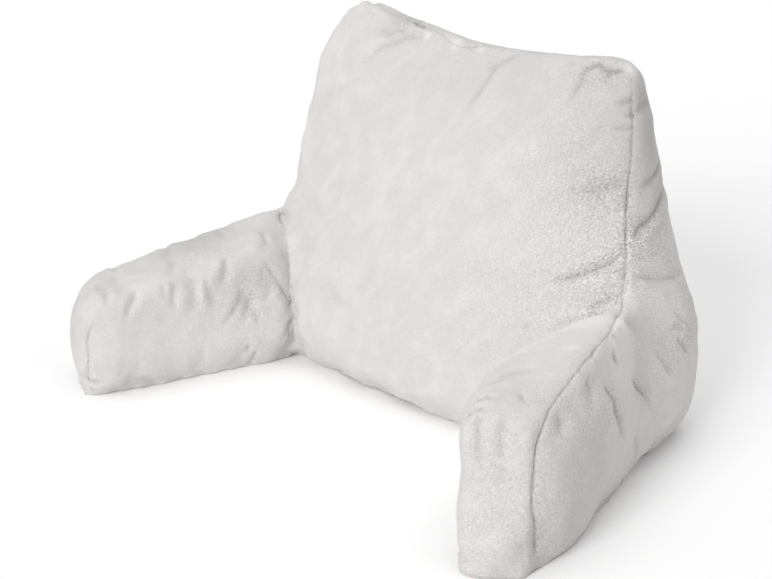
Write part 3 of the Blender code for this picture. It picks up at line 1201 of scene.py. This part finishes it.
    def puckers(self, seam: Seam, line: SurfaceLine, near: Nearby, number: int) -> np.ndarray:
        """Work out the small gathers that run at right angles to a seam.

        Args:
            seam: The seam.
            line: The seam's line on the cover.
            near: The cover's points beside it.
            number: The seam's place in the list, which sets its pattern apart.

        Returns:
            Metres outwards for each of the points.
        """
        all_seams = self.stitching
        usual, least, most = all_seams.stretch_heights
        stretches = usual + line.waver(all_seams.stretch_mm, number + Pattern.STRETCHES)
        height = seam.pucker_mm * MM * np.clip(stretches, least, most)
        # A gather is a sharp valley between two rounded crests.
        valley = all_seams.gather_valley
        left, right = (
            all_seams.gather_high * np.sqrt(np.abs(line.waver(size_mm, number + pattern)) + valley) - 1.0
            for size_mm, pattern in zip(all_seams.gathers_mm, (Pattern.LEFT_GATHERS, Pattern.RIGHT_GATHERS))
        )
        gathers = np.where(near.aside < 0, left[near.samples], right[near.samples])
        away = np.abs(near.aside)
        reach = away / (away + all_seams.gather_rise_mm * MM) * bell(away, all_seams.gather_reach_mm * MM)
        return height[near.samples] * gathers * reach

    def fold(self) -> None:
        """Press the main creases into the cloth, one by one."""
        body = CoverMesh(self.cover.data)
        tree = body.tree()
        lines = [fold.line(tree) for fold in FOLDS]
        all_folds = self.creasing
        for number, (fold, line) in enumerate(zip(FOLDS, lines)):
            width = fold.width_mm * MM
            near = line.near(body, all_folds.reach * width)
            share = near.along / line.lengths[-1]
            uneven = all_folds.uneven * line.waver(all_folds.uneven_mm, number + Pattern.FOLD_WIDTH)
            wander = all_folds.wander * width * line.waver(all_folds.wander_mm, number + Pattern.FOLD_WANDER)
            away = (near.aside + wander[near.samples]) / (width * (1.0 + uneven)[near.samples])
            fade = near.facing * bell(near.past, width)
            fade *= smooth_step(share / fold.start) * smooth_step((1.0 - share) / fold.end)
            ridges = (1.0 + fold.lean) * bell(away - all_folds.ridge_off, all_folds.ridge_wide)
            ridges += (1.0 - fold.lean) * bell(away + all_folds.ridge_off, all_folds.ridge_wide)
            deep = (abs(fold.depth_mm) - all_folds.crisp_from_mm) / all_folds.crisp_over_mm
            crisp = all_folds.most_crisp * float(smooth_step(np.array(deep)))
            trough = (1.0 - crisp) * bell(away, 1.0) + crisp * bell(away, all_folds.crisp_wide)
            amount = fold.depth_mm * MM * fade * (all_folds.ridge_high * ridges - trough)
            body.places[near.points] += body.normals[near.points] * amount[:, None]
            # Painted shade in the trough, darker for deeper creases.
            dark = bell(away * (1.0 + all_folds.crisp_shade * crisp), 1.0)
            dark = np.minimum(fold.depth_mm * all_folds.shade_per_mm * fade * dark, all_folds.most_shade)
            self.shade[near.points] = np.maximum(self.shade[near.points], dark)
            pushed = fold.depth_mm * all_folds.ruffled_per_mm * fade * bell(away, all_folds.ruffled_wide)
            self.ruffled[near.points] += pushed
        body.write()

    def seat(self) -> None:
        """Rest the cover flat on the ground, and close its underside with a few large faces."""
        body = CoverMesh(self.cover.data)
        body.keep("shade", self.shade)
        body.keep("ruffle", self.ruffled)
        body.places[:, 2] = np.maximum(body.places[:, 2], 0.0)
        body.write()
        sheet = bmesh.new()
        sheet.from_mesh(self.cover.data)
        under = {face for face in sheet.faces if all(vertex.co.z < HAIR for vertex in face.verts)}
        inner = [edge for edge in sheet.edges if all(face in under for face in edge.link_faces)]
        bmesh.ops.dissolve_limit(sheet, angle_limit=math.radians(self.flat_deg), edges=inner)
        sheet.to_mesh(self.cover.data)
        sheet.free()

    def ruffle(self) -> None:
        """Mark for the material where the pile is ruffled, how it lies, and its painted light and shade."""
        body = CoverMesh(self.cover.data)
        ruffled, tone = (
            sum(patch.amount * body.share_of(patch) for patch in table)
            for table in (RUFFLED_PATCHES, NAP_AND_PAINTED_LIGHT_PATCHES)
        )
        ruffled += body.kept("ruffle") * (self.least_ruffling + ruffled)
        body.keep("ruffle", np.clip(ruffled, 0.0, 1.0))
        body.keep("tone", np.clip(tone, -1.0, 1.0))


@dataclass(frozen=True)
class SoftLight:
    """One very large soft lamp, far enough off to light the floor evenly.

    The place says only where its light comes from. Spread is how wide it looks, in degrees.
    """

    name: str
    place: Triple
    spread_deg: float
    strength: float


@dataclass
class Studio:
    """A pale paper floor, soft light from the front, from above and from all round, and the camera."""

    target: Triple = (-0.0035, 0.055, 0.18)
    azimuth_deg: float = 42.9
    elevation_deg: float = 18.6
    distance: float = 2.281
    lens: float = 85.8
    shift: Pair = (-0.0475, -0.0263)
    floor_width: float = 60.0
    # The floor lies a hair below the pillow, so that the two never share a plane.
    floor_drop: float = 0.2 * MM
    paper: MattStudioPaper = MattStudioPaper()
    surround: str = "#FFFFFF"
    surround_strength: float = 0.57
    lights: tuple[SoftLight, ...] = (
        SoftLight("key_light", (1.6, -7.0, 3.4), 25.0, 1.64),
        SoftLight("overhead_light", (0.0, -0.5, 6.0), 60.0, 0.8),
    )

    def build(self) -> None:
        """Build the floor, the lights and the camera."""
        self.build_floor()
        for light in self.lights:
            self.build_light(light)
        self.build_surround()
        self.build_camera()

    def build_floor(self) -> None:
        """Lay the floor, which is no part of the pillow."""
        mesh = bpy.data.meshes.new("studio_floor")
        sheet = bmesh.new()
        bmesh.ops.create_grid(sheet, x_segments=4, y_segments=4, size=self.floor_width / 2)
        sheet.to_mesh(mesh)
        sheet.free()
        mesh.materials.append(self.paper.material())
        floor = bpy.data.objects.new("studio_floor", mesh)
        floor.location.z = -self.floor_drop
        bpy.context.scene.collection.objects.link(floor)

    def build_light(self, light: SoftLight) -> None:
        """Hang one soft lamp and turn it to the pillow.

        Args:
            light: The lamp's name, place, spread and strength.
        """
        lamp = bpy.data.lights.new(light.name, "SUN")
        lamp.angle = math.radians(light.spread_deg)
        lamp.energy = light.strength
        hung = bpy.data.objects.new(light.name, lamp)
        hung.location = light.place
        hung.rotation_euler = (Vector(self.target) - hung.location).to_track_quat("-Z", "Y").to_euler()
        bpy.context.scene.collection.objects.link(hung)

    def build_surround(self) -> None:
        """Light everything evenly from all round."""
        world = bpy.data.worlds.new("studio_surround")
        world.use_nodes = True
        world.node_tree.nodes.clear()
        glow = add_node(
            world.node_tree, "ShaderNodeBackground",
            Color=linear_colour(self.surround), Strength=self.surround_strength,
        )
        add_node(world.node_tree, "ShaderNodeOutputWorld", Surface=glow.outputs[0])
        bpy.context.scene.world = world
        bpy.context.scene.view_settings.view_transform = "Standard"

    def build_camera(self) -> None:
        """Set up the camera, looking down at the pillow from the front right."""
        turn, tilt = math.radians(self.azimuth_deg), math.radians(self.elevation_deg)
        back = Vector((math.sin(turn) * math.cos(tilt), -math.cos(turn) * math.cos(tilt), math.sin(tilt)))
        lens = bpy.data.cameras.new("camera")
        lens.lens = self.lens
        lens.sensor_width = 36.0
        lens.shift_x, lens.shift_y = self.shift
        camera = bpy.data.objects.new("camera", lens)
        camera.location = Vector(self.target) + back * self.distance
        camera.rotation_euler = (-back).to_track_quat("-Z", "Y").to_euler()
        bpy.context.scene.collection.objects.link(camera)
        bpy.context.scene.camera = camera


def main() -> None:
    """Build the pillow and the studio, and report each piece."""
    logging.basicConfig(level=logging.INFO, format="%(name)s: %(message)s")
    cover = PlushCover().build(BrushedPlush())
    log.info("%s: %d points, %d faces", cover.name, len(cover.data.vertices), len(cover.data.polygons))
    Studio().build()


if __name__ == "__main__":
    main()
